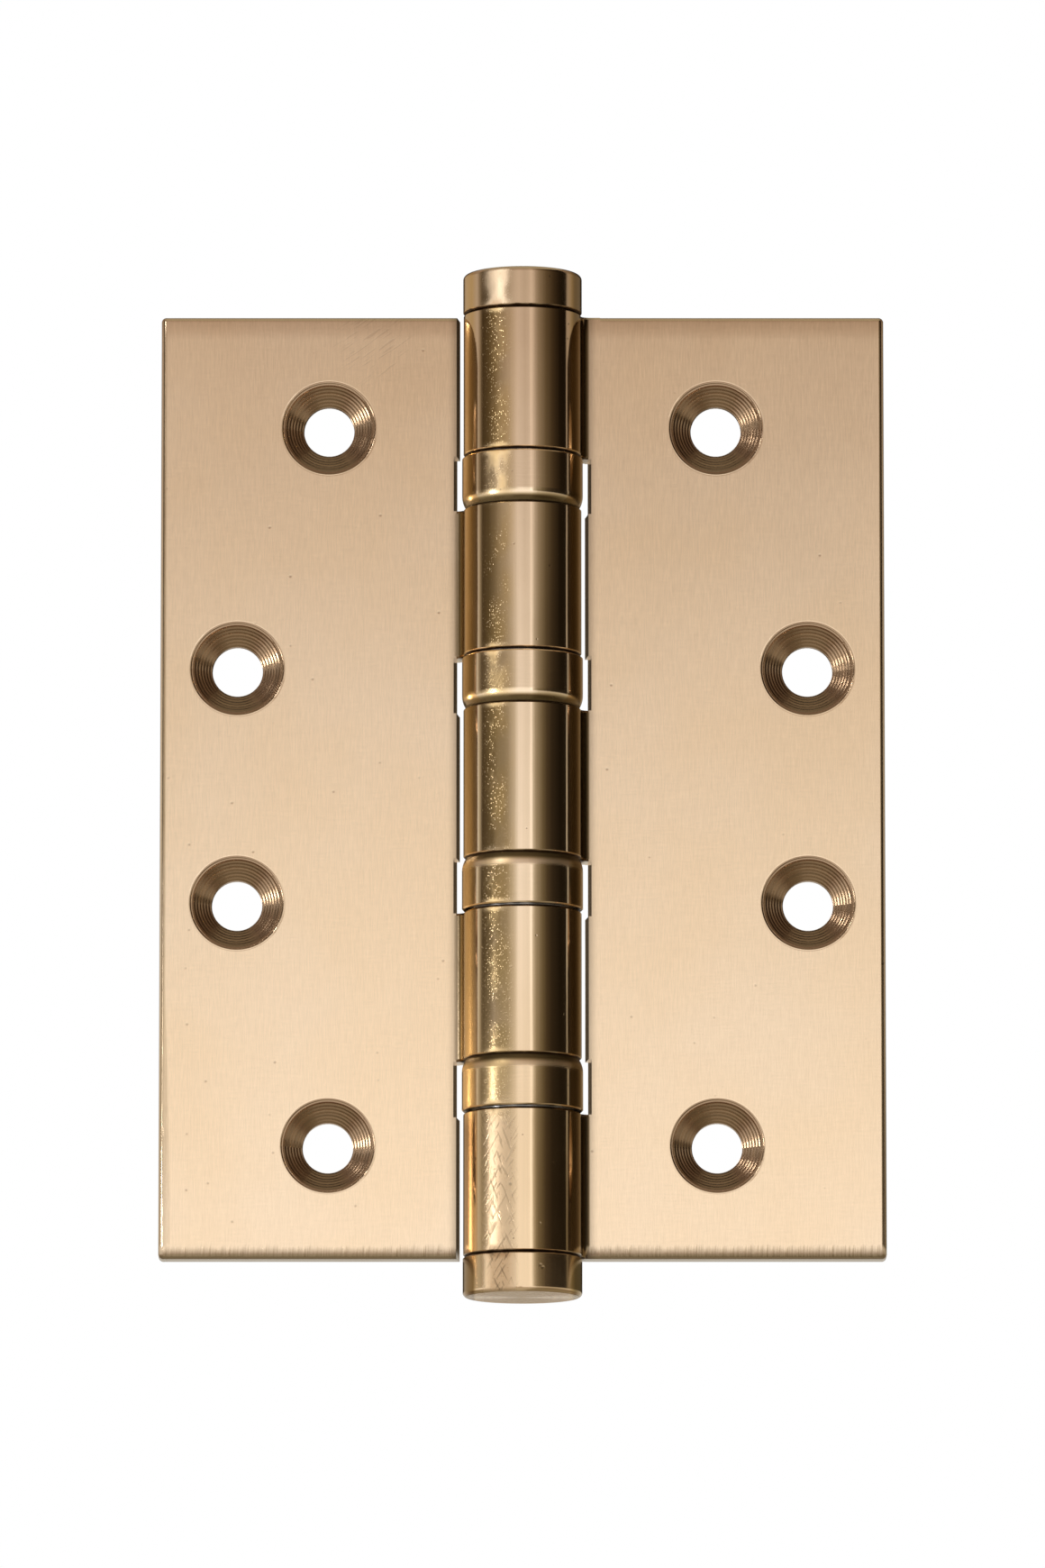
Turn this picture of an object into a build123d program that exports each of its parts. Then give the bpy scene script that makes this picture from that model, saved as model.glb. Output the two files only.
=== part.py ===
from build123d import *
import os
from math import radians, sin, sqrt, tan

# Ball bearing butt hinge with five knuckles and four bearings, lying open flat.
# Millimetres. The pin lies on the Z axis with its middle at the origin, the leaves
# reach along X, and their countersunk faces look towards -Y.

# Leaves
LEAF_HEIGHT = 100.0
LEAF_REACH = 38.1            # pin axis to a leaf's outer edge
LEAF_THICKNESS = 3.0
FACE_OFFSET = 1.2            # pin axis to the countersunk faces, half the closed gap
FACE_ROUND = 0.5             # buffed edge round the countersunk face
BACK_ROUND = 0.2             # broken edge round the back
CORNER_ROUND = 0.5           # the leaf's two outer corners

# Barrel: knuckles of both leaves in turn, a bearing between each two, and a centre
# knuckle that takes up what the others leave of the height
END_KNUCKLE = 15.2
SECOND_KNUCKLE = 15.7
KNUCKLE_DIAMETER = 12.4
KNUCKLE_CHAMFER = 0.25
FRONT_FILLET = 1.0           # barrel to countersunk face
BACK_FILLET = 0.8            # barrel to back
KNUCKLE_CLEARANCE = 0.75     # knuckle to the edge of the other leaf
BEARING_CLEARANCE = 0.9      # bearing to the notch that it runs in
NOTCH_OVERRUN = 0.3          # the notch runs on past the bearing by this much
EDGE_DRAFT = 7.0             # degrees, slope of a leaf's edge beside the barrel

# Screw holes, countersunk
SCREW_HOLE_DIAMETER = 5.3
COUNTERSINK_DIAMETER = 9.6
COUNTERSINK_ANGLE = 90.0
COUNTERSINK_LIP = 0.8        # radius of the buffed rim
OUTER_SCREW_REACH = 20.4     # pin axis to the holes near the leaf's ends
OUTER_SCREW_SPACING = 76.2
INNER_SCREW_REACH = 30.0     # pin axis to the holes near the leaf's middle
INNER_SCREW_SPACING = 24.9

# Pin and the button tips screwed on its ends
PIN_DIAMETER = 6.0
PIN_CLEARANCE = 0.05         # radial, pin to knuckles
STUD_DIAMETER = 5.0          # the pin's reduced ends
STUD_LENGTH = 2.5
STUD_CLEARANCE = 0.05        # radial and at the end, stud to tip
SHOULDER_GAP = 0.1           # the pin's shoulder stops short of the tip
TIP_DIAMETER = 12.5
TIP_HEIGHT = 4.2
TIP_ROUND = 0.5
TIP_CHAMFER = 0.2            # edge that meets the knuckle

# Bearings: a drawn shell holds a cup race, the balls in their cage and a face race
BEARING_HEIGHT = 5.55
BEARING_DIAMETER = 12.7
SHELL_WALL = 0.7
SHELL_LIP = 1.3              # width of the shell's closed end
CROWN_DROP = 0.42            # the shell's closed end is rounded over by this much
CROWN_HEIGHT = 1.3
RIM_CHAMFER = 0.15
RIM_GAP = 0.15               # open end of the shell to the next knuckle
RACE_BORE_CLEARANCE = 0.1    # radial, race to pin
CUP_RACE_CLEARANCE = 0.02    # radial, pressed race to shell
FACE_RACE_CLEARANCE = 0.06   # radial, running race to shell
RACE_GAP = 0.9               # between the faces of the two races
TRACK_ANGLE = 90.0           # the vee that the balls run in
BALL_DIAMETER = 1.5
BALL_COUNT = 6
BALL_PLAY = 0.03             # ball to track
POCKET_PLAY = 0.04           # ball to the cage's pocket
CAGE_SIDE_CLEARANCE = 0.05   # the cage is narrower than the races by this much on either side
CAGE_FACE_CLEARANCE = 0.15   # cage to each race

# Worked out from the above
BEARINGS = 4
CENTRE_KNUCKLE = LEAF_HEIGHT - 2 * END_KNUCKLE - 2 * SECOND_KNUCKLE - BEARINGS * BEARING_HEIGHT
KNUCKLES = [END_KNUCKLE, SECOND_KNUCKLE, CENTRE_KNUCKLE, SECOND_KNUCKLE, END_KNUCKLE]
KNUCKLE_RADIUS = KNUCKLE_DIAMETER / 2
BACK_OFFSET = FACE_OFFSET + LEAF_THICKNESS
RACE_BORE = PIN_DIAMETER / 2 + RACE_BORE_CLEARANCE
RACE_OUTSIDE = BEARING_DIAMETER / 2 - SHELL_WALL - FACE_RACE_CLEARANCE
RACE_THICKNESS = (BEARING_HEIGHT - SHELL_WALL - RACE_GAP) / 2
TRACK_RADIUS = (RACE_BORE + RACE_OUTSIDE) / 2
BALL_HEIGHT = SHELL_WALL + RACE_THICKNESS + RACE_GAP / 2


def knuckle_top(number):
    """Height of the top of a knuckle, counted from 0 at the top of the barrel."""
    above = sum(KNUCKLES[:number]) + number * BEARING_HEIGHT
    return LEAF_HEIGHT / 2 - above


def knuckle_bottom(number):
    return knuckle_top(number) - KNUCKLES[number]


def edge_section(clearance_edge, far_edge):
    """Section of a leaf between its sloped edge beside the barrel and far_edge."""
    slope = LEAF_THICKNESS * tan(radians(EDGE_DRAFT))
    return make_face(
        Polyline(
            (clearance_edge, FACE_OFFSET),
            (far_edge, FACE_OFFSET),
            (far_edge, BACK_OFFSET),
            (clearance_edge - slope, BACK_OFFSET),
            close=True,
        )
    )


def plate():
    """The flat of a leaf, with its edges broken."""
    section = edge_section(KNUCKLE_RADIUS + KNUCKLE_CLEARANCE, LEAF_REACH)
    body = Pos(Z=-LEAF_HEIGHT / 2) * extrude(section, LEAF_HEIGHT)
    corners = body.edges().filter_by(Axis.Y).group_by(Axis.X)[-1]
    body = fillet(corners, CORNER_ROUND)
    for offset, radius in ((FACE_OFFSET, FACE_ROUND), (BACK_OFFSET, BACK_ROUND)):
        face = body.faces().filter_by_position(Axis.Y, offset, offset)[0]
        outer = face.outer_wire().edges().sort_by(Axis.X)[1:]
        body = fillet(outer, radius)
    return body


def knuckle(number):
    """One barrel segment with its web, the ends chamfered."""
    fillet_end = sqrt((KNUCKLE_RADIUS + FRONT_FILLET) ** 2 - (FACE_OFFSET - FRONT_FILLET) ** 2)
    web_end = fillet_end + FRONT_FILLET
    web = Pos(web_end / 2, FACE_OFFSET + LEAF_THICKNESS / 2) * Rectangle(web_end, LEAF_THICKNESS)
    section = Circle(KNUCKLE_RADIUS) + web
    for offset, radius in ((FACE_OFFSET, FRONT_FILLET), (BACK_OFFSET, BACK_FILLET)):
        meeting = (sqrt(KNUCKLE_RADIUS**2 - offset**2), offset, 0)
        section = fillet(section.vertices().sort_by_distance(meeting)[0], radius)
    body = Pos(Z=knuckle_bottom(number)) * extrude(section, KNUCKLES[number])
    ends = body.faces().filter_by(Axis.Z)
    outlines = [end.edges().sort_by(Axis.X)[:-1] for end in ends]
    return chamfer(outlines, KNUCKLE_CHAMFER)


def notch(number, own):
    """Room in a leaf for the bearing under knuckle number, open towards the barrel."""
    top = knuckle_bottom(number) + (0 if number in own else NOTCH_OVERRUN)
    bottom = knuckle_top(number + 1) - (0 if number + 1 in own else NOTCH_OVERRUN)
    section = edge_section(BEARING_DIAMETER / 2 + BEARING_CLEARANCE, 0)
    return Pos(Z=bottom) * extrude(section, top - bottom)


def screw_hole():
    """Countersunk hole along Y, from the countersunk face at Y = 0 to the back."""
    head = COUNTERSINK_DIAMETER / 2
    shank = SCREW_HOLE_DIAMETER / 2
    depth = (head - shank) / tan(radians(COUNTERSINK_ANGLE / 2))
    section = make_face(
        Polyline(
            (0, 0), (head, 0), (shank, depth), (shank, LEAF_THICKNESS), (0, LEAF_THICKNESS), close=True
        )
    )
    return revolve(section, Axis.Y)


def leaf(own):
    """A leaf on the +X side that carries the knuckles in own."""
    body = plate()
    for number in own:
        body += knuckle(number)
    for number in range(BEARINGS):
        body -= notch(number, own)
    body -= Cylinder(PIN_DIAMETER / 2 + PIN_CLEARANCE, LEAF_HEIGHT)
    pairs = ((OUTER_SCREW_REACH, OUTER_SCREW_SPACING), (INNER_SCREW_REACH, INNER_SCREW_SPACING))
    for reach, spacing in pairs:
        for height in (-spacing / 2, spacing / 2):
            body -= Pos(reach, FACE_OFFSET, height) * screw_hole()
    face = body.faces().filter_by(Axis.Y).sort_by(Axis.Y)[0]
    rims = [wire.edges() for wire in face.inner_wires()]
    return fillet(rims, COUNTERSINK_LIP)


def hinge_pin():
    shank = Cylinder(PIN_DIAMETER / 2, LEAF_HEIGHT - 2 * SHOULDER_GAP)
    studs = Cylinder(STUD_DIAMETER / 2, LEAF_HEIGHT + 2 * STUD_LENGTH)
    return shank + studs


def button_tip():
    """Turned cap, standing on Z = 0 with its blind hole below."""
    radius = TIP_DIAMETER / 2
    body = Cylinder(radius, TIP_HEIGHT, align=(Align.CENTER, Align.CENTER, Align.MIN))
    body = fillet(body.edges().sort_by(Axis.Z)[-1], TIP_ROUND)
    body = chamfer(body.edges().sort_by(Axis.Z)[0], TIP_CHAMFER)
    hole = Cylinder(
        STUD_DIAMETER / 2 + STUD_CLEARANCE,
        STUD_LENGTH + STUD_CLEARANCE,
        align=(Align.CENTER, Align.CENTER, Align.MIN),
    )
    return body - hole


def bearing_shell():
    """Drawn cup, closed end on Z = 0 and rounded over at the outside."""
    outside = BEARING_DIAMETER / 2
    inside = outside - SHELL_WALL
    height = BEARING_HEIGHT - RIM_GAP
    crown_foot = (outside - CROWN_DROP, 0)
    crown_top = (outside, CROWN_HEIGHT)
    crown = TangentArc(crown_top, crown_foot, tangent=(0, -1))
    rest = Polyline(
        crown_foot,
        (inside - SHELL_LIP, 0),
        (inside - SHELL_LIP, SHELL_WALL),
        (inside, SHELL_WALL),
        (inside, height),
        (outside - RIM_CHAMFER, height),
        (outside, height - RIM_CHAMFER),
        crown_top,
    )
    return revolve(Plane.XZ * make_face([*crown.edges(), *rest.edges()]), Axis.Z)


def race(outside):
    """Washer on Z = 0 with a vee track for the balls in its upper face."""
    half_angle = radians(TRACK_ANGLE / 2)
    depth = (BALL_DIAMETER / 2 + BALL_PLAY) / sin(half_angle) - RACE_GAP / 2
    half_width = depth * tan(half_angle)
    section = make_face(
        Polyline(
            (RACE_BORE, 0),
            (outside, 0),
            (outside, RACE_THICKNESS),
            (TRACK_RADIUS + half_width, RACE_THICKNESS),
            (TRACK_RADIUS, RACE_THICKNESS - depth),
            (TRACK_RADIUS - half_width, RACE_THICKNESS),
            (RACE_BORE, RACE_THICKNESS),
            close=True,
        )
    )
    return revolve(Plane.XZ * section, Axis.Z)


def cup_race():
    outside = BEARING_DIAMETER / 2 - SHELL_WALL - CUP_RACE_CLEARANCE
    return Pos(Z=SHELL_WALL) * race(outside)


def face_race():
    return Pos(Z=BEARING_HEIGHT) * Rot(X=180) * race(RACE_OUTSIDE)


def ball_places():
    return [Pos(Z=BALL_HEIGHT) * place for place in PolarLocations(TRACK_RADIUS, BALL_COUNT)]


def balls():
    return Compound([place * Sphere(BALL_DIAMETER / 2) for place in ball_places()])


def cage():
    """Flat ring between the races with a pocket for each ball."""
    thickness = RACE_GAP - 2 * CAGE_FACE_CLEARANCE
    inside = RACE_BORE + CAGE_SIDE_CLEARANCE
    outside = RACE_OUTSIDE - CAGE_SIDE_CLEARANCE
    ring = Pos(Z=BALL_HEIGHT) * (Cylinder(outside, thickness) - Cylinder(inside, thickness))
    for place in ball_places():
        ring -= place * Cylinder(BALL_DIAMETER / 2 + POCKET_PLAY, thickness)
    return ring


def bearing_place(number):
    """Bearings above the middle stand on their closed end, the others hang from it."""
    if number < BEARINGS / 2:
        return Pos(Z=knuckle_top(number + 1))
    return Pos(Z=knuckle_bottom(number)) * Rot(X=180)


def model():
    parts = {
        "three_knuckle_leaf": leaf((0, 2, 4)),
        "two_knuckle_leaf": mirror(leaf((1, 3)), Plane.YZ),
        "hinge_pin": hinge_pin(),
        "top_tip": Pos(Z=LEAF_HEIGHT / 2) * button_tip(),
        "bottom_tip": Pos(Z=-LEAF_HEIGHT / 2) * Rot(X=180) * button_tip(),
    }
    for number in range(BEARINGS):
        place = bearing_place(number)
        name = f"bearing_{number + 1}"
        parts[name + "_shell"] = place * bearing_shell()
        parts[name + "_cup_race"] = place * cup_race()
        parts[name + "_face_race"] = place * face_race()
        parts[name + "_balls"] = place * balls()
        parts[name + "_cage"] = place * cage()
    return parts


os.makedirs("parts", exist_ok=True)
for node, shape in model().items():
    export_step(shape, f"parts/{node}.step")
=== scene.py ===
"""Looks of a brass ball bearing hinge: its metals, a light tent, a pale floor and the camera."""

import math

import bpy
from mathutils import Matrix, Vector

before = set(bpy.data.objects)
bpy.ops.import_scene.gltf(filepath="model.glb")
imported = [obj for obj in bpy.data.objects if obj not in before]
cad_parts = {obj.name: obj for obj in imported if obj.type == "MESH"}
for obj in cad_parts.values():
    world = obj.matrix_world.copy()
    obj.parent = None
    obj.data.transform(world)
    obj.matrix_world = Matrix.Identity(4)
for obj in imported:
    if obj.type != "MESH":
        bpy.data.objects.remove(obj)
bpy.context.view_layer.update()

MILLIMETRE = 0.001

# Sizes that the patterns follow, in millimetres in the frame of the CAD model
BARREL_RADIUS = 6.2
LEAF_HALF_HEIGHT = 50.0
LEAF_REACH = 38.1
LEAF_BACK = 4.2
SCREWS = ((20.4, 38.1), (30.0, 12.45))  # from the pin, and from mid height
COUNTERSINK_RADIUS = 4.8
JOINTS = (8.0, 13.55, 29.25, 34.8, 50.0)  # of the barrel's pieces, from mid height
LIPS = (8.0, 29.25)  # the joints where a bearing has its rounded lip
TIP_END = 54.2
TRACK_RADIUS = 4.35
GROOVE_WIDTH = 0.30  # of turning marks
GROOVE_SLOPE = 0.40

# Where one finish goes over into another, and where painted shade fades in: each pair is where the
# change starts and ends
BARREL_EDGE = (BARREL_RADIUS + 0.8, BARREL_RADIUS + 0.2)  # from the pin's axis
CORNER_SHADE = (BARREL_RADIUS + 1.9, BARREL_RADIUS + 0.3)  # from the pin's axis, painted shade on the leaf next to the barrel
COUNTERSINK_EDGE = (COUNTERSINK_RADIUS + 0.3, COUNTERSINK_RADIUS)
BACK = (LEAF_BACK - 0.25, LEAF_BACK - 0.05)  # along Y
TIP_FACE = (TIP_END - 0.12, TIP_END - 0.03)  # from mid height
TRACK_EDGE = (0.55, 0.35)  # from the track's middle
LIP_SHADE = (0.95, 0.4)  # from a lip, painted shade
LIP_MATT = (1.6, 1.0)  # from a lip
LIP_ROUGHNESS = 0.42
LOWER_HALF = (2.0, -2.0)  # along Z

# Wear, age and painted shade, with pairs as above
WORN_AT = -2.6  # along X, the middle of a scuffed strip down the front of the barrel
WORN_WIDTH = 2.2
WORN_DEPTH = (-2.0, -4.0)  # along Y
FOOT = (-33.5, -37.0)  # along Z, where the foot of the barrel begins
FOOT_SHIFT = 0.25  # of the strip, along X
DULLED = (-8.0, -26.0)  # along Z
SHELLS_SCUFFED = ((-10.0, 32.0), (-15.0, -30.0))  # along Z, to the top and to the foot
AGED = (-5.0, -42.0)  # along Z
FLANKS = (4.7, 5.4)  # from the pin to either side
LEFT_FLANK_SHADE = (-4.8, -5.2)  # along X, painted shade on the left flank at the foot
RIGHT_FLANK_SHADE = (4.9, 5.6)  # along X, painted shade on the right flank
EDGE_WEAR = (0.9, 0.3)  # from a joint
GRIME_REACH = (0.24, 0.09)  # from a joint
GRIME_ROUGHNESS = 0.5
FOOT_ROLL = 1.5  # width of a leaf's edges that buffing has rolled over
HEAD_ROLL = 2.4
RIM_ROLL = 0.7
RUBBED_RIM = ((0.0, -30.0), (-20.0, -40.0))  # along X and along Z
STROKES_AT = (-15.5, 47.5)  # along X and Z, a rubbed patch on the left leaf
STROKES_REACH = 6.0

# Colours
BRASS = (0.955, 0.745, 0.53)
WARM_BRASS = (0.945, 0.72, 0.49)
DEEP_BRASS = (0.90, 0.64, 0.30)
TIP_BRASS = (0.95, 0.745, 0.525)
AGED_BRASS = (0.84, 0.62, 0.395)
# Painted shade: the dark brown that the left flank takes at the foot
LEFT_FOOT_SHADE_BRASS = (0.36, 0.22, 0.09)
TURNED_BRASS = (0.47, 0.315, 0.195)
PRESSED_BRASS = (0.82, 0.62, 0.34)
GRIME = (0.055, 0.027, 0.011)
STEEL = (0.60, 0.59, 0.58)
HARD_STEEL = (0.50, 0.49, 0.48)
CHROME_STEEL = (0.66, 0.66, 0.67)

# Camera, in metres
CAMERA_PLACE = (0.0, -1.4316, -0.2157)
CAMERA_LENS = 316.7
SENSOR = 36.0

# Surroundings, in metres
FLOOR_LEVEL = -0.30
FLOOR_SIZE = 12.0
FLOOR_COLOUR = (0.93, 0.93, 0.93)
FLOOR_ROUGHNESS = 0.9
TENT_RADIUS = 0.40
TENT_SIDES = 180
TENT_BOTTOM = -0.29
TENT_TOP = 0.50
TENT_BASE = 0.5  # brightness, as a share of the lowest row's
TENT_CEILING = 0.36

# Rows of the tent's wall: brightness by direction, in degrees from the camera's side to the
# right. The hinge reflects the upper three to the camera: a window in front, dim to the left
# and dark to the right. The lowest is lit more evenly.
BELOW = (
    (-180, 0.7), (-145, 0.7), (-130, 0.5), (-115, 0.5), (-98, 0.85), (-76, 1.0),
    (-28, 1.05), (18, 1.0), (30, 0.6), (50, 0.45), (70, 0.45), (100, 0.55),
    (115, 0.45), (130, 0.5), (145, 0.7), (180, 0.7),
)
LOW = (
    (-180, 0.05), (-158, 0.05), (-148, 0.55), (-90, 0.45), (-84, 0.35), (-70, 0.62),
    (-54, 0.85), (-24, 0.92), (-9, 0.98), (14, 0.95), (15.5, 1.25), (18, 1.1),
    (21, 0.5), (26, 0.25), (31, 0.15), (46, 0.05), (61, 0.02), (93.5, 0.015),
    (95.5, 0.16), (146, 0.12), (157, 0.05), (180, 0.05),
)
MIDDLE = (
    (-180, 0.05), (-158, 0.05), (-148, 0.85), (-98, 0.80), (-92, 0.40), (-85, 0.07),
    (-60, 0.13), (-50, 0.25), (-30, 0.33), (-16, 0.60), (-8, 0.96), (-3, 1.0),
    (5, 0.92), (14, 0.92), (15.5, 1.25), (18, 1.15), (21, 0.62), (26, 0.36),
    (39, 0.15), (48, 0.07), (58, 0.033), (78, 0.012), (94.5, 0.015), (96, 0.55),
    (99, 0.5), (146, 0.5), (157, 0.05), (180, 0.05),
)
HIGH = (
    (-180, 0.05), (-158, 0.05), (-148, 0.85), (-98, 0.80), (-92, 0.40), (-85, 0.09),
    (-70, 0.14), (-54, 0.30), (-38, 0.56), (-24, 0.78), (-10, 1.06), (-2, 1.0),
    (5, 0.90), (14, 1.0), (15.5, 1.25), (19, 1.15), (24, 0.75), (31, 0.45),
    (46, 0.2), (61, 0.08), (78, 0.02), (94.5, 0.015), (96, 0.55), (99, 0.6),
    (146, 0.5), (157, 0.05), (180, 0.05),
)
# The rows from below, each with the heights between which it takes over from the one under it
TENT_ROWS = (
    ((-0.30, -0.29), BELOW),
    ((-0.06, -0.02), LOW),
    ((-0.01, 0.04), MIDDLE),
    ((0.06, 0.11), HIGH),
)
# Brightness by height
TENT_UP = (
    (-0.29, 0.40), (-0.24, 0.50), (-0.18, 0.85), (-0.13, 1.0), (-0.06, 1.1),
    (0.0, 1.1), (0.06, 0.90), (0.12, 0.54), (0.20, 0.38), (0.50, 0.36),
)

# Small lamps to the left, which scuffs and turned grooves catch: direction, height and watts
LAMPS = ((-58, -0.025, 0.14), (-45, 0.20, 0.24))
LAMP_SIZE = 0.05
LAMP_RADIUS = 0.95 * TENT_RADIUS


class Graph:
    """Builds a node tree, where each call adds a node and returns its first output."""

    def __init__(self, tree):
        self.tree = tree

    def node(self, kind, *values, **settings):
        """A node with its first inputs set or linked in order."""
        node = self.tree.nodes.new(kind)
        for name, value in settings.items():
            setattr(node, name, value)
        for socket, value in zip(node.inputs, values):
            self.put(value, socket)
        return node

    def put(self, value, socket):
        if isinstance(value, bpy.types.NodeSocket):
            self.tree.links.new(value, socket)
        else:
            socket.default_value = value

    def math(self, operation, *values):
        return self.node("ShaderNodeMath", *values, operation=operation).outputs[0]

    def add(self, *values):
        total = values[0]
        for value in values[1:]:
            total = self.math("ADD", total, value)
        return total

    def times(self, *values):
        product = values[0]
        for value in values[1:]:
            product = self.math("MULTIPLY", product, value)
        return product

    def absolute(self, value):
        return self.math("ABSOLUTE", value)

    def less(self, first, second):
        return self.math("SUBTRACT", first, second)

    def split(self, point):
        return self.node("ShaderNodeSeparateXYZ", point).outputs

    def joined(self, x, y, z):
        return self.node("ShaderNodeCombineXYZ", x, y, z).outputs[0]

    def stretched(self, point, factors):
        return self.node("ShaderNodeVectorMath", point, factors, operation="MULTIPLY").outputs[0]

    def turned(self, point, degrees):
        """The point turned about Y."""
        node = self.node("ShaderNodeVectorRotate", point, rotation_type="Y_AXIS")
        node.inputs["Angle"].default_value = math.radians(degrees)
        return node.outputs[0]

    def length(self, *values):
        """Root of the sum of squares."""
        return self.math("SQRT", self.add(*(self.times(value, value) for value in values)))

    def nearest(self, value, places):
        """Distance from value to the nearest of the places."""
        distances = [self.absolute(self.less(value, place)) for place in places]
        closest = distances[0]
        for distance in distances[1:]:
            closest = self.math("MINIMUM", closest, distance)
        return closest

    def fade(self, value, start, end, low=0.0, high=1.0):
        """Smooth change from low to high while value goes from start to end."""
        settings = {"interpolation_type": "SMOOTHSTEP"}
        return self.node("ShaderNodeMapRange", value, start, end, low, high, **settings).outputs[0]

    def noise(self, point, factors, detail=2.0, roughness=0.5):
        """Noise from -0.5 to 0.5, with factors for its fineness along X, Y and Z."""
        node = self.node("ShaderNodeTexNoise")
        self.put(self.stretched(point, factors), node.inputs["Vector"])
        node.inputs["Scale"].default_value = 1.0
        node.inputs["Detail"].default_value = detail
        node.inputs["Roughness"].default_value = roughness
        return self.less(node.outputs[0], 0.5)

    def spots(self, point, factors, radius, share):
        """Round spots in a share of cells: 1 in a spot's middle, 0 at its edge."""
        node = self.node("ShaderNodeTexVoronoi")
        self.put(self.stretched(point, factors), node.inputs["Vector"])
        node.inputs["Scale"].default_value = 1.0
        chosen = self.math("LESS_THAN", self.split(node.outputs["Color"])[0], share)
        return self.times(chosen, self.fade(node.outputs["Distance"], radius, 0.0))

    def mix(self, factor, first, second):
        """Blend of two numbers."""
        return self.add(first, self.times(factor, self.less(second, first)))

    def blend(self, factor, first, second, kind="MIX"):
        """Blend of two colours."""
        node = self.node("ShaderNodeMix", data_type="RGBA", blend_type=kind)
        for socket, value in ((0, factor), (6, first), (7, second)):
            self.put(value, node.inputs[socket])
        return node.outputs[2]

    def ramp(self, value, stops):
        """Colours at places from 0 to 1, with straight blends between them."""
        node = self.node("ShaderNodeValToRGB", value)
        elements = node.color_ramp.elements
        while len(elements) < len(stops):
            elements.new(1.0)
        for element, (place, colour) in zip(elements, stops):
            element.position = place
            element.color = (*colour, 1.0)
        return node.outputs[0]


def new_material(name):
    material = bpy.data.materials.new(name)
    material.use_nodes = True
    return material, Graph(material.node_tree), material.node_tree.nodes["Principled BSDF"]


def place_on_piece(graph):
    """The point in millimetres in the CAD frame, which moves with the piece."""
    metres = graph.node("ShaderNodeTexCoord").outputs["Object"]
    return graph.stretched(metres, (1 / MILLIMETRE,) * 3)


def metal(graph, shader, colour, tone, gloss, relief):
    """Sets a metal's colour times tone, its roughness, and its relief in millimetres."""
    graph.put(graph.blend(1.0, colour, tone, "MULTIPLY"), shader.inputs["Base Color"])
    graph.put(gloss, shader.inputs["Roughness"])
    bump = graph.node("ShaderNodeBump")
    bump.inputs["Distance"].default_value = MILLIMETRE
    graph.put(relief, bump.inputs["Height"])
    graph.put(bump.outputs[0], shader.inputs["Normal"])
    shader.inputs["Metallic"].default_value = 1.0


def near(graph, point, centre, radius):
    """1 at a place on the faces, given along X and Z, and 0 from radius away."""
    x, _, z = graph.split(point)
    away = graph.length(graph.less(x, centre[0]), graph.less(z, centre[1]))
    return graph.fade(away, radius, radius / 3)


def scratches(graph, point, degrees, width, length, share):
    """Fine lines on the faces, along Z turned by degrees."""
    turned = graph.turned(point, degrees)
    line = graph.noise(turned, (1 / width, 0, 1 / length), 1)
    edge = 0.5 - share
    return graph.fade(line, edge, edge + 0.05)


def brushed(graph, point):
    """Satin flats: grain along Z, fainter marks across it, clouds, pits and stray scratches."""
    grain = graph.noise(point, (9, 9, 0.6), 3, 0.6)
    drawn = graph.noise(point, (2.2, 2.2, 0.10), 3, 0.6)
    across = graph.noise(point, (0.7, 7, 7), 3, 0.6)
    cloud = graph.noise(point, (0.09, 0.09, 0.06), 3)
    pits = graph.spots(point, (0.45, 0.45, 0.45), 0.10, 0.35)
    patches = graph.fade(graph.noise(point, (0.08, 0.08, 0.08), 1), 0.0, 0.1)
    hairs = graph.times(
        patches,
        graph.add(
            scratches(graph, point, 32, 0.14, 3.0, 0.18),
            scratches(graph, point, -58, 0.12, 2.5, 0.18),
        ),
    )
    strokes = graph.times(
        near(graph, point, STROKES_AT, STROKES_REACH),
        scratches(graph, point, -54, 0.2, 3.5, 0.42),
    )
    tone = graph.add(
        1.0,
        graph.times(grain, 0.26),
        graph.times(drawn, 0.035),
        graph.times(across, 0.10),
        graph.times(cloud, 0.07),
        graph.times(pits, -0.30),
        graph.times(hairs, -0.10),
        graph.times(strokes, -0.10),
    )
    gloss = graph.add(0.20, graph.times(grain, 0.08), graph.times(cloud, 0.12))
    relief = graph.add(
        graph.times(grain, 0.0010),
        graph.times(across, 0.0006),
        graph.times(pits, -0.010),
        graph.times(graph.add(hairs, strokes), -0.0015),
    )
    return tone, gloss, relief


def worn_front(graph, point):
    """Where the barrel's front is scuffed, in patches, and its foot, which is scuffed most."""
    x, y, z = graph.split(point)
    foot = graph.fade(z, *FOOT)
    patches = graph.add(graph.noise(point, (0.3, 0.3, 0.16), 2), graph.times(foot, 0.2))
    shifted = graph.less(x, graph.times(foot, FOOT_SHIFT))
    worn = graph.times(
        graph.fade(y, *WORN_DEPTH),
        graph.fade(graph.nearest(shifted, (WORN_AT,)), WORN_WIDTH, WORN_WIDTH / 4),
        graph.fade(patches, -0.28, 0.08),
    )
    return worn, foot


def from_joint(graph, point):
    """Distance along the barrel to the nearest joint of its pieces."""
    return graph.nearest(graph.absolute(graph.split(point)[2]), JOINTS)


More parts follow.
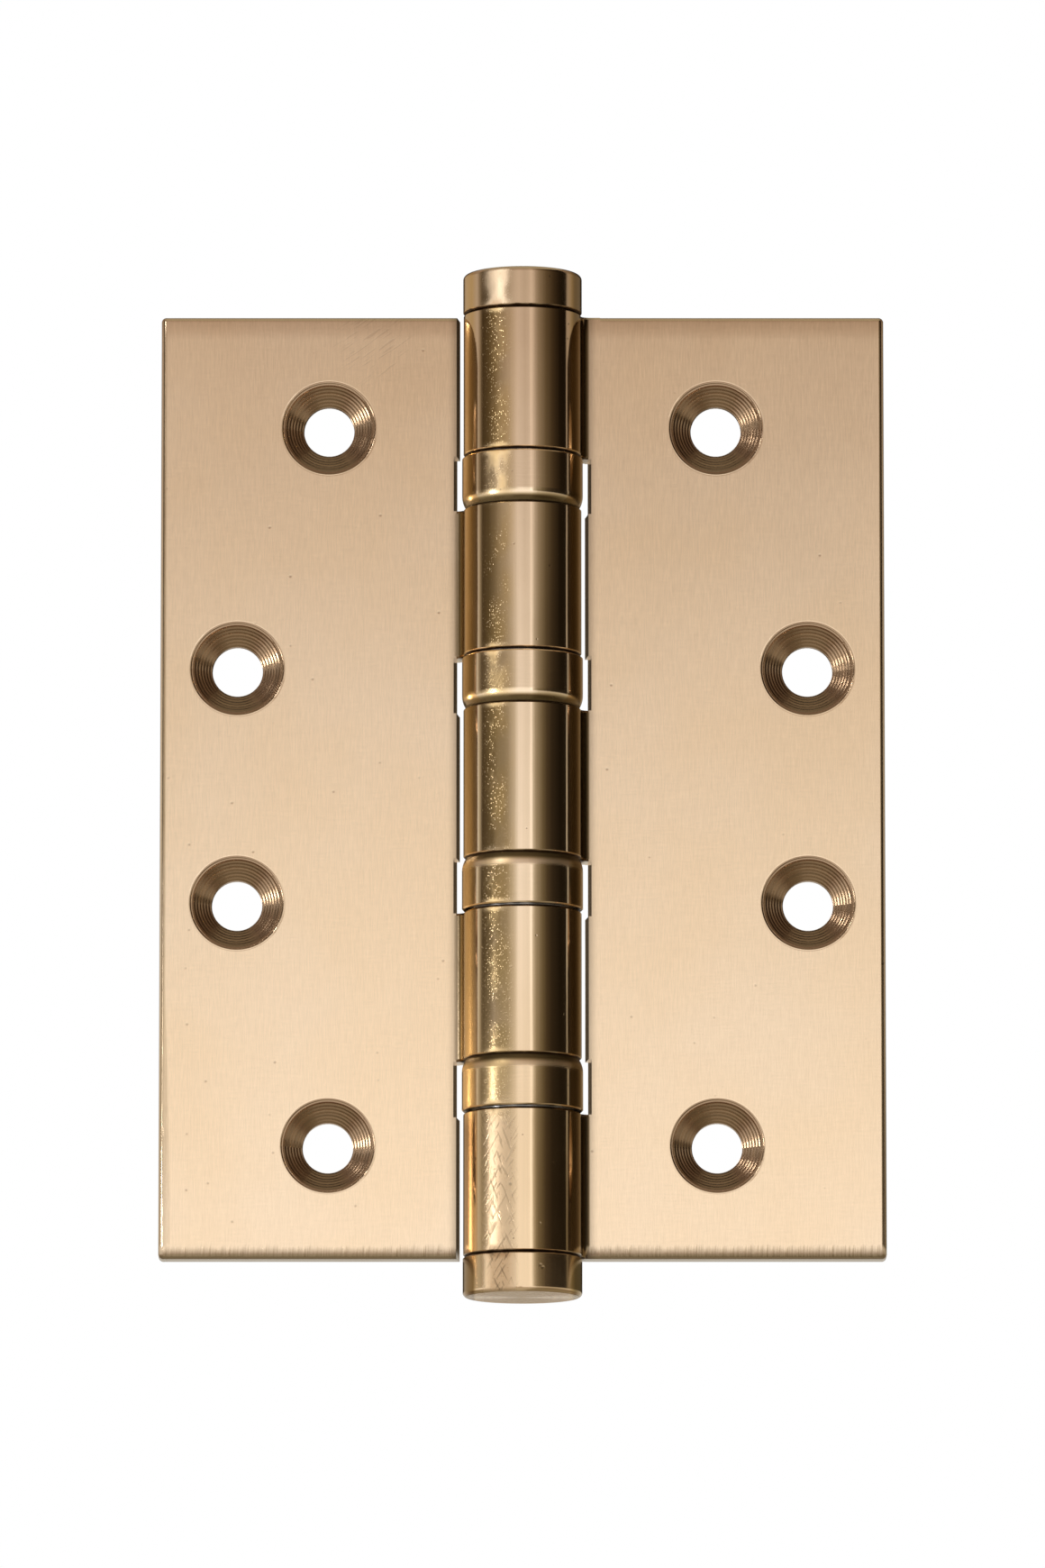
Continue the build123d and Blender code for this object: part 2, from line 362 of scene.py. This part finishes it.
def polished(graph, point, gloss, scuffed=0.06):
    """Polished rounds: fine lines along Z, smudges, pits, and scuffs along the worn front."""
    worn, foot = worn_front(graph, point)
    lines = graph.noise(point, (3.2, 3.2, 0.05), 4, 0.6)
    smudge = graph.noise(point, (0.35, 0.35, 0.22), 3)
    pits = graph.add(
        graph.spots(point, (0.7, 0.7, 0.7), 0.10, 0.4),
        graph.times(foot, graph.spots(point, (0.6, 0.6, 0.6), 0.17, 0.5)),
    )
    edge = graph.fade(from_joint(graph, point), *EDGE_WEAR)
    flecks = graph.add(
        graph.spots(point, (5.8, 5.8, 5.0), 0.46, 0.42),
        graph.spots(point, (3.8, 3.8, 3.2), 0.33, 0.24),
    )
    rubs = graph.add(
        scratches(graph, point, 22, 0.30, 2.6, 0.42),
        scratches(graph, point, -30, 0.30, 2.6, 0.42),
    )
    scuffs = graph.add(
        scuffed,
        graph.times(foot, 0.22),
        graph.times(edge, 0.22),
        graph.times(flecks, 0.36),
        graph.times(rubs, graph.mix(foot, 0.03, 0.06)),
    )
    dulled = graph.fade(graph.split(point)[2], *DULLED)
    tone = graph.add(
        1.0,
        graph.times(lines, 0.10),
        graph.times(smudge, 0.08),
        graph.times(pits, -0.4),
        graph.times(worn, dulled, graph.mix(foot, -0.28, -0.15)),
        graph.times(worn, foot, rubs, -0.18),
    )
    roughness = graph.add(
        gloss, graph.times(lines, 0.04), graph.times(smudge, 0.07), graph.times(worn, scuffs)
    )
    relief = graph.add(
        graph.times(lines, 0.003),
        graph.times(smudge, 0.006),
        graph.times(worn, flecks, -0.007),
        graph.times(worn, rubs, graph.mix(foot, -0.0005, -0.013)),
        graph.times(pits, -0.012),
    )
    return tone, roughness, relief


def turned_rings(graph, radius, depth):
    """Machined faces: a tool's grooves round an axis, and finer ones between them."""
    across = graph.joined(radius, depth, 0.0)
    coarse = graph.noise(across, (2.4, 2.4, 0), 2)
    fine = graph.noise(across, (6, 6, 0), 2, 0.65)
    uneven = graph.add(radius, graph.times(fine, 0.05))
    groove = graph.math("PINGPONG", uneven, GROOVE_WIDTH / 2)
    tone = graph.add(0.88, graph.times(coarse, 0.7), graph.times(fine, 0.4))
    relief = graph.add(graph.times(groove, GROOVE_SLOPE), graph.times(fine, 0.012))
    return tone, graph.add(0.22, graph.times(fine, 0.1)), relief


def barrel_colour(graph, point, brass, tarnish=0.75):
    """Brass, aged to the foot, deeper on the flanks and worn front, dark at joints; painted shade
    darkens the right flank and the left flank's foot.
    """
    x, _, z = graph.split(point)
    worn, foot = worn_front(graph, point)
    colour = graph.blend(graph.fade(z, *AGED), (*brass, 1), (*AGED_BRASS, 1))
    colour = graph.blend(graph.fade(graph.absolute(x), *FLANKS), colour, (*DEEP_BRASS, 1))
    tarnished = graph.times(worn, graph.less(1.0, foot), tarnish)
    colour = graph.blend(tarnished, colour, (*DEEP_BRASS, 1))
    # Painted shade: the left flank darkens to a brown brass at the foot
    left_foot_shade = graph.times(foot, graph.fade(x, *LEFT_FLANK_SHADE))
    colour = graph.blend(left_foot_shade, colour, (*LEFT_FOOT_SHADE_BRASS, 1))
    # Painted shade: the right flank is darkened
    shade = graph.fade(x, *RIGHT_FLANK_SHADE, 1.0, 0.45)
    colour = graph.blend(1.0, colour, shade, "MULTIPLY")
    uneven = graph.times(graph.noise(point, (0.8, 0.8, 0.8), 3), 0.2)
    grime = graph.fade(graph.add(from_joint(graph, point), uneven), *GRIME_REACH)
    return graph.blend(grime, colour, (*GRIME, 1)), grime


def rolled(graph, distance, width):
    """0 inside the face, rising to 1 at its edge."""
    inside = graph.math("DIVIDE", distance, width)
    return graph.math("MAXIMUM", graph.less(1.0, inside), 0.0)


def leaf_brass():
    """Brushed flats, polished knuckles, turned countersinks and buffed edges, with stain and
    painted shade on the rolled edges and painted shade beside the barrel.
    """
    material, graph, shader = new_material("leaf_brass")
    point = place_on_piece(graph)
    x, y, z = graph.split(point)
    side, height, from_pin = graph.absolute(x), graph.absolute(z), graph.length(x, y)

    barrel = graph.fade(from_pin, *BARREL_EDGE)
    from_screws = [
        graph.length(graph.less(side, reach), graph.less(height, rise)) for reach, rise in SCREWS
    ]
    from_screw = graph.math("MINIMUM", *from_screws)
    back = graph.fade(y, *BACK)
    sunk = graph.times(graph.fade(from_screw, *COUNTERSINK_EDGE), graph.less(1.0, back))

    # Edges that buffing has rolled over, unevenly and most at the foot
    stroke = graph.noise(point, (2.4, 0, 0.05), 4, 0.65)
    foot_width = graph.add(FOOT_ROLL, graph.times(stroke, 1.6))
    foot = rolled(graph, graph.add(z, LEAF_HALF_HEIGHT), foot_width)
    head = rolled(graph, graph.less(LEAF_HALF_HEIGHT, z), HEAD_ROLL)
    rubbed_along, rubbed_up = RUBBED_RIM
    rubbed = graph.times(graph.fade(x, *rubbed_along), graph.fade(z, *rubbed_up))
    rim_width = graph.add(RIM_ROLL, graph.times(graph.add(0.6, stroke), rubbed))
    rim = rolled(graph, graph.less(LEAF_REACH, side), rim_width)
    flat = graph.less(1.0, graph.math("MAXIMUM", barrel, back))
    edge_relief = graph.add(
        graph.times(foot, foot, -0.34),
        graph.times(head, head, -0.10),
        graph.times(rim, rim, -0.14),
    )
    # Darker rolled edges: partly stain, partly painted shade where the edges roll away from the
    # light
    edge_stain_and_shade = graph.math("MAXIMUM", foot, graph.times(rim, 0.5))
    corner_shade = graph.fade(from_pin, *CORNER_SHADE)

    tone, gloss, relief = brushed(graph, point)
    tone = graph.times(tone, graph.less(1.0, graph.times(edge_stain_and_shade, flat, 0.55)))
    # Painted shade on the leaf's face where it meets the barrel
    tone = graph.times(tone, graph.less(1.0, graph.times(corner_shade, flat, 0.6)))
    relief = graph.add(relief, graph.times(edge_relief, flat))
    gloss = graph.add(gloss, graph.times(back, 0.08))
    for mask, layer in (
        (barrel, polished(graph, point, 0.075)),
        (sunk, turned_rings(graph, from_screw, y)),
    ):
        tone, gloss, relief = (
            graph.mix(mask, *pair) for pair in zip((tone, gloss, relief), layer)
        )
    warmth = graph.fade(graph.noise(point, (0.05, 0.05, 0.05), 3), -0.2, 0.2)
    colour = graph.blend(warmth, (*BRASS, 1), (*WARM_BRASS, 1))
    colour = graph.blend(sunk, colour, (*TURNED_BRASS, 1))
    round_colour, grime = barrel_colour(graph, point, BRASS)
    colour = graph.blend(barrel, colour, round_colour)
    gloss = graph.mix(graph.times(barrel, grime), gloss, GRIME_ROUGHNESS)
    metal(graph, shader, colour, tone, gloss, relief)
    return material


def tip_brass():
    """Polished round sides and a turned end."""
    material, graph, shader = new_material("tip_brass")
    point = place_on_piece(graph)
    x, y, z = graph.split(point)
    height = graph.absolute(z)
    end = graph.fade(height, *TIP_FACE)
    tone, gloss, relief = polished(graph, point, 0.14, 0.30)
    rings = turned_rings(graph, graph.length(x, y), height)
    tone, gloss, relief = (graph.mix(end, *pair) for pair in zip((tone, gloss, relief), rings))
    colour, grime = barrel_colour(graph, point, TIP_BRASS, 0.0)
    metal(graph, shader, colour, tone, graph.mix(grime, gloss, GRIME_ROUGHNESS), relief)
    return material


def bearing_brass():
    """Drawn shells, polished, with marks round them and a lip darkened by painted shade."""
    material, graph, shader = new_material("bearing_brass")
    point = place_on_piece(graph)
    z = graph.split(point)[2]
    to_top, to_foot = SHELLS_SCUFFED
    scuffed = graph.add(graph.fade(z, *to_top, 0.03, 0.28), graph.fade(z, *to_foot, 0.0, 0.10))
    tone, gloss, relief = polished(graph, point, 0.10, scuffed)
    drawn = graph.noise(point, (0.3, 0.3, 5.0), 3, 0.6)
    tone = graph.add(tone, graph.times(drawn, 0.08))
    relief = graph.add(relief, graph.times(drawn, 0.0015))
    from_lip = graph.nearest(graph.absolute(z), LIPS)
    # Painted shade on the lip: a darker tone and a deeper brass
    lip = graph.fade(from_lip, *LIP_SHADE)
    tone = graph.times(tone, graph.less(1.0, graph.times(lip, 0.8)))
    matt = graph.times(graph.fade(from_lip, *LIP_MATT), graph.fade(z, *LOWER_HALF))
    gloss = graph.mix(matt, gloss, LIP_ROUGHNESS)
    colour, grime = barrel_colour(graph, point, BRASS)
    colour = graph.blend(lip, colour, (*DEEP_BRASS, 1))
    metal(graph, shader, colour, tone, graph.mix(grime, gloss, GRIME_ROUGHNESS), relief)
    return material


def cage_brass():
    """Rolled sheet with a film of oil."""
    material, graph, shader = new_material("cage_brass")
    point = place_on_piece(graph)
    rolled_grain = graph.noise(point, (0.6, 9, 9), 3, 0.6)
    oil = graph.noise(point, (0.5, 0.5, 0.5), 3)
    tone = graph.add(0.92, graph.times(rolled_grain, 0.2), graph.times(oil, 0.25))
    gloss = graph.add(0.34, graph.times(rolled_grain, 0.1), graph.times(oil, 0.15))
    metal(graph, shader, (*PRESSED_BRASS, 1), tone, gloss, graph.times(rolled_grain, 0.002))
    return material


def pin_steel():
    """Ground all round, with a film of oil."""
    material, graph, shader = new_material("pin_steel")
    point = place_on_piece(graph)
    ground = graph.noise(point, (0.4, 0.4, 11), 3, 0.65)
    oil = graph.noise(point, (0.3, 0.3, 0.15), 3)
    tone = graph.add(0.93, graph.times(ground, 0.22), graph.times(oil, 0.2))
    gloss = graph.add(0.22, graph.times(ground, 0.1), graph.times(oil, 0.12))
    metal(graph, shader, (*STEEL, 1), tone, gloss, graph.times(ground, 0.0015))
    return material


def race_steel():
    """Turned faces, and tracks that the balls have polished."""
    material, graph, shader = new_material("race_steel")
    point = place_on_piece(graph)
    x, y, z = graph.split(point)
    radius = graph.length(x, y)
    tone, gloss, relief = turned_rings(graph, radius, z)
    track = graph.fade(graph.nearest(radius, (TRACK_RADIUS,)), *TRACK_EDGE)
    tone = graph.mix(track, tone, 1.15)
    gloss = graph.mix(track, gloss, 0.1)
    metal(graph, shader, (*HARD_STEEL, 1), tone, gloss, graph.times(relief, 0.3))
    return material


def ball_steel():
    """Nearly a mirror, under faint scuffs and oil."""
    material, graph, shader = new_material("ball_steel")
    point = place_on_piece(graph)
    scuffs = graph.noise(point, (4, 4, 20), 3, 0.6)
    film = graph.noise(point, (1.2, 1.2, 1.2), 3)
    tone = graph.add(0.95, graph.times(scuffs, 0.1), graph.times(film, 0.15))
    gloss = graph.add(0.06, graph.times(scuffs, 0.04), graph.times(film, 0.06))
    metal(graph, shader, (*CHROME_STEEL, 1), tone, gloss, graph.times(scuffs, 0.0004))
    return material


def dress():
    """Gives each CAD node the metal that its name ends in."""
    metals = {
        "_leaf": leaf_brass(),
        "_tip": tip_brass(),
        "_shell": bearing_brass(),
        "_cage": cage_brass(),
        "_pin": pin_steel(),
        "_race": race_steel(),
        "_balls": ball_steel(),
    }
    for name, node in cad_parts.items():
        material = next(metal for ending, metal in metals.items() if name.endswith(ending))
        node.data.materials.clear()
        node.data.materials.append(material)


def dim(level):
    """Light of a brightness, a little warmer where it is dim."""
    depth = min(level, 1.0)
    return (level, level * max(depth**0.10, 0.75), level * max(depth**0.38, 0.45))


def warm(level):
    """Light of a brightness, browner where it is dim."""
    depth = min(level, 1.0)
    return (level, level * depth**0.25, level * depth**0.45)


def glow(name):
    """An emission material, its graph and its colour's socket."""
    material, graph, shader = new_material(name)
    emission = graph.node("ShaderNodeEmission")
    output = material.node_tree.nodes["Material Output"]
    material.node_tree.nodes.remove(shader)
    material.node_tree.links.new(emission.outputs[0], output.inputs["Surface"])
    return material, graph, emission.inputs["Color"]


def show_in_reflections(thing, material):
    """The metal reflects it, and it neither shows nor casts light or shadow otherwise."""
    thing.data.materials.append(material)
    thing.visible_camera = False
    thing.visible_diffuse = False
    thing.visible_transmission = False
    thing.visible_shadow = False


def around(graph, stops):
    """Light of the tent by direction, from stops in degrees, for any point on it."""
    x, y, _ = graph.split(graph.node("ShaderNodeNewGeometry").outputs["Position"])
    turn = graph.math("ARCTAN2", x, graph.times(y, -1.0))
    place = graph.add(graph.times(turn, 1 / (2 * math.pi)), 0.5)
    return graph.ramp(place, [((degrees + 180) / 360, dim(level)) for degrees, level in stops])


def tent_wall():
    """A cylinder round the hinge, whose rows blend into each other."""
    span = TENT_TOP - TENT_BOTTOM
    bpy.ops.mesh.primitive_cylinder_add(
        vertices=TENT_SIDES,
        radius=TENT_RADIUS,
        depth=span,
        end_fill_type="NOTHING",
        location=(0, 0, (TENT_TOP + TENT_BOTTOM) / 2),
    )
    wall = bpy.context.object
    wall.name = "tent_wall"
    material, graph, colour = glow("tent_wall")
    z = graph.split(graph.node("ShaderNodeNewGeometry").outputs["Position"])[2]
    light = (0, 0, 0, 1)
    for heights, stops in TENT_ROWS:
        light = graph.blend(graph.fade(z, *heights), light, around(graph, stops))
    rise = graph.node("ShaderNodeMapRange", z, TENT_BOTTOM, TENT_TOP).outputs[0]
    levels = [((height - TENT_BOTTOM) / span, warm(level)) for height, level in TENT_UP]
    graph.put(graph.blend(1.0, light, graph.ramp(rise, levels), "MULTIPLY"), colour)
    show_in_reflections(wall, material)


def tent_end(name, height, level, stops):
    """A disc that closes the tent, lit by direction as a row of its wall is."""
    material, graph, colour = glow(name)
    graph.put(graph.blend(1.0, around(graph, stops), (*dim(level), 1), "MULTIPLY"), colour)
    bpy.ops.mesh.primitive_circle_add(
        vertices=TENT_SIDES, radius=TENT_RADIUS, fill_type="NGON", location=(0, 0, height)
    )
    bpy.context.object.name = name
    show_in_reflections(bpy.context.object, material)


def side_lamp(direction, height, watts):
    """A square lamp just inside the tent, aimed at the hinge."""
    data = bpy.data.lights.new("side_lamp", "AREA")
    data.size = LAMP_SIZE
    data.energy = watts
    lamp = bpy.data.objects.new("side_lamp", data)
    turn = math.radians(direction)
    lamp.location = (LAMP_RADIUS * math.sin(turn), -LAMP_RADIUS * math.cos(turn), height)
    lamp.rotation_euler = (-lamp.location).to_track_quat("-Z", "Y").to_euler()
    lamp.visible_camera = False
    bpy.context.scene.collection.objects.link(lamp)


def floor():
    bpy.ops.mesh.primitive_plane_add(size=FLOOR_SIZE, location=(0, 0, FLOOR_LEVEL))
    plane = bpy.context.object
    plane.name = "floor"
    material, _, shader = new_material("floor_white")
    shader.inputs["Base Color"].default_value = (*FLOOR_COLOUR, 1)
    shader.inputs["Roughness"].default_value = FLOOR_ROUGHNESS
    plane.data.materials.append(material)


def white_world():
    world = bpy.data.worlds.new("white")
    world.use_nodes = True
    background = world.node_tree.nodes["Background"]
    background.inputs["Color"].default_value = (1, 1, 1, 1)
    background.inputs["Strength"].default_value = 1.0
    bpy.context.scene.world = world


def camera():
    """A long lens below the hinge, aimed at its middle."""
    data = bpy.data.cameras.new("camera")
    data.lens = CAMERA_LENS
    data.sensor_fit = "VERTICAL"
    data.sensor_height = SENSOR
    eye = bpy.data.objects.new("camera", data)
    eye.location = CAMERA_PLACE
    eye.rotation_euler = (-Vector(CAMERA_PLACE)).to_track_quat("-Z", "Y").to_euler()
    bpy.context.scene.collection.objects.link(eye)
    bpy.context.scene.camera = eye


dress()
tent_wall()
tent_end("tent_base", TENT_BOTTOM, TENT_BASE, BELOW)
tent_end("tent_ceiling", TENT_TOP, TENT_CEILING, ((-180, 1.0), (180, 1.0)))
for lamp in LAMPS:
    side_lamp(*lamp)
floor()
white_world()
camera()
bpy.context.scene.view_settings.view_transform = "Standard"
